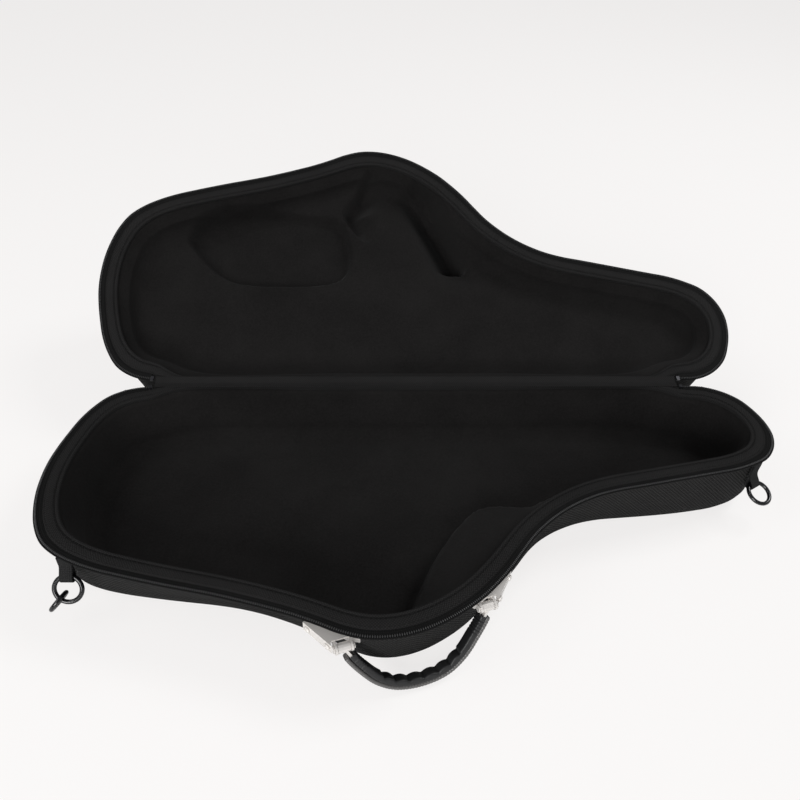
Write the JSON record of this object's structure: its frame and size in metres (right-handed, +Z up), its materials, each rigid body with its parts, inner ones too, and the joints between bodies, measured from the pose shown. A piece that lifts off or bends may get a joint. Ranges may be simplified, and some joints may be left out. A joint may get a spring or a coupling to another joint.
{
  "type": "instrument bag",
  "caption": "Shaped hard-shell alto saxophone bag, shown open and empty: moulded base and lid on a cloth hinge, zip rims, moulded linings, side handle and strap rings.",
  "frame": {"origin": "middle of the base outline on the table, on the flat underside of the base shell", "axes": "+X towards the neck end, -Y towards the handle, +Z up; the lid lies open towards +Y"},
  "size_m": [0.6435, 0.5601, 0.2018],
  "materials": {
    "woven_cloth": "coarse woven polyester, matt",
    "binding_cloth": "twill border, matt",
    "lining_cloth": "short plush, matt",
    "zip_plastic": "moulded coil on woven tape",
    "grip_rubber": "moulded, half matt",
    "spine_rubber": "smooth, half matt",
    "webbing_cloth": "woven webbing",
    "gloss_plastic": "polished black",
    "bright_steel": "bright plated sheet",
    "dark_steel": "black enamel"
  },
  "bodies": {
    "base": {"base_shell": "woven_cloth", "base_lining": "lining_cloth", "base_rim_binding": "binding_cloth", "base_zip": "zip_plastic", "hinge_cloth": "binding_cloth", "left_handle_bracket": "bright_steel", "left_bracket_rivet_1": "bright_steel", "left_bracket_rivet_2": "bright_steel", "left_handle_pin": "bright_steel", "left_webbing_tab": "webbing_cloth", "left_zip_slider": "dark_steel", "left_base_zip_stop": "dark_steel", "right_handle_bracket": "bright_steel", "right_bracket_rivet_1": "bright_steel", "right_bracket_rivet_2": "bright_steel", "right_handle_pin": "bright_steel", "right_webbing_tab": "webbing_cloth", "right_zip_slider": "dark_steel", "right_base_zip_stop": "dark_steel"},
    "lid": {"lid_shell": "woven_cloth", "lid_lining": "lining_cloth", "lid_rim_binding": "binding_cloth", "lid_zip": "zip_plastic", "left_lid_zip_stop": "dark_steel", "right_lid_zip_stop": "dark_steel"},
    "handle": {"handle_grip": "grip_rubber", "handle_spine": "spine_rubber", "left_handle_tang": "bright_steel", "right_handle_tang": "bright_steel"},
    "left_ring": {"left_strap_ring": "gloss_plastic"},
    "ring_link": {"left_ring_link": "gloss_plastic"},
    "right_ring": {"right_strap_ring": "gloss_plastic"},
    "left_puller": {"left_zip_puller": "dark_steel"},
    "right_puller": {"right_zip_puller": "dark_steel"}
  },
  "joints": [
    {"name": "lid_hinge", "type": "hinge", "parent": "base", "child": "lid", "pos_m": [0, 0.144, 0.0664], "axis": [1, 0, 0], "range_deg": [0, 151.4]},
    {"name": "handle_swing", "type": "hinge", "parent": "base", "child": "handle", "pos_m": [-0.01864, -0.11745, 0.0458], "axis": [-0.9573, -0.289, 0], "range_deg": [0, 85]},
    {"name": "left_ring_swing", "type": "hinge", "parent": "base", "child": "left_ring", "pos_m": [-0.27949, -0.06692, 0.044], "axis": [0.9997, -0.0263, 0], "range_deg": [-60, 30]},
    {"name": "link_swing", "type": "hinge", "parent": "left_ring", "child": "ring_link", "pos_m": [-0.28613, -0.07573, 0.02845], "axis": [0.7797, -0.3284, -0.5332], "range_deg": [-30, 45]},
    {"name": "right_ring_swing", "type": "hinge", "parent": "base", "child": "right_ring", "pos_m": [0.29577, 0.03203, 0.036], "axis": [0.8682, 0.4962, 0], "range_deg": [-20, 60]},
    {"name": "left_puller_swing", "type": "hinge", "parent": "base", "child": "left_puller", "pos_m": [-0.28097, 0.13683, 0.0586], "axis": [-0.8279, -0.5609, 0], "range_deg": [-60, 0]},
    {"name": "right_puller_swing", "type": "hinge", "parent": "base", "child": "right_puller", "pos_m": [0.28212, 0.14083, 0.0586], "axis": [-0.9149, 0.4037, 0], "range_deg": [-60, 0]}
  ]
}
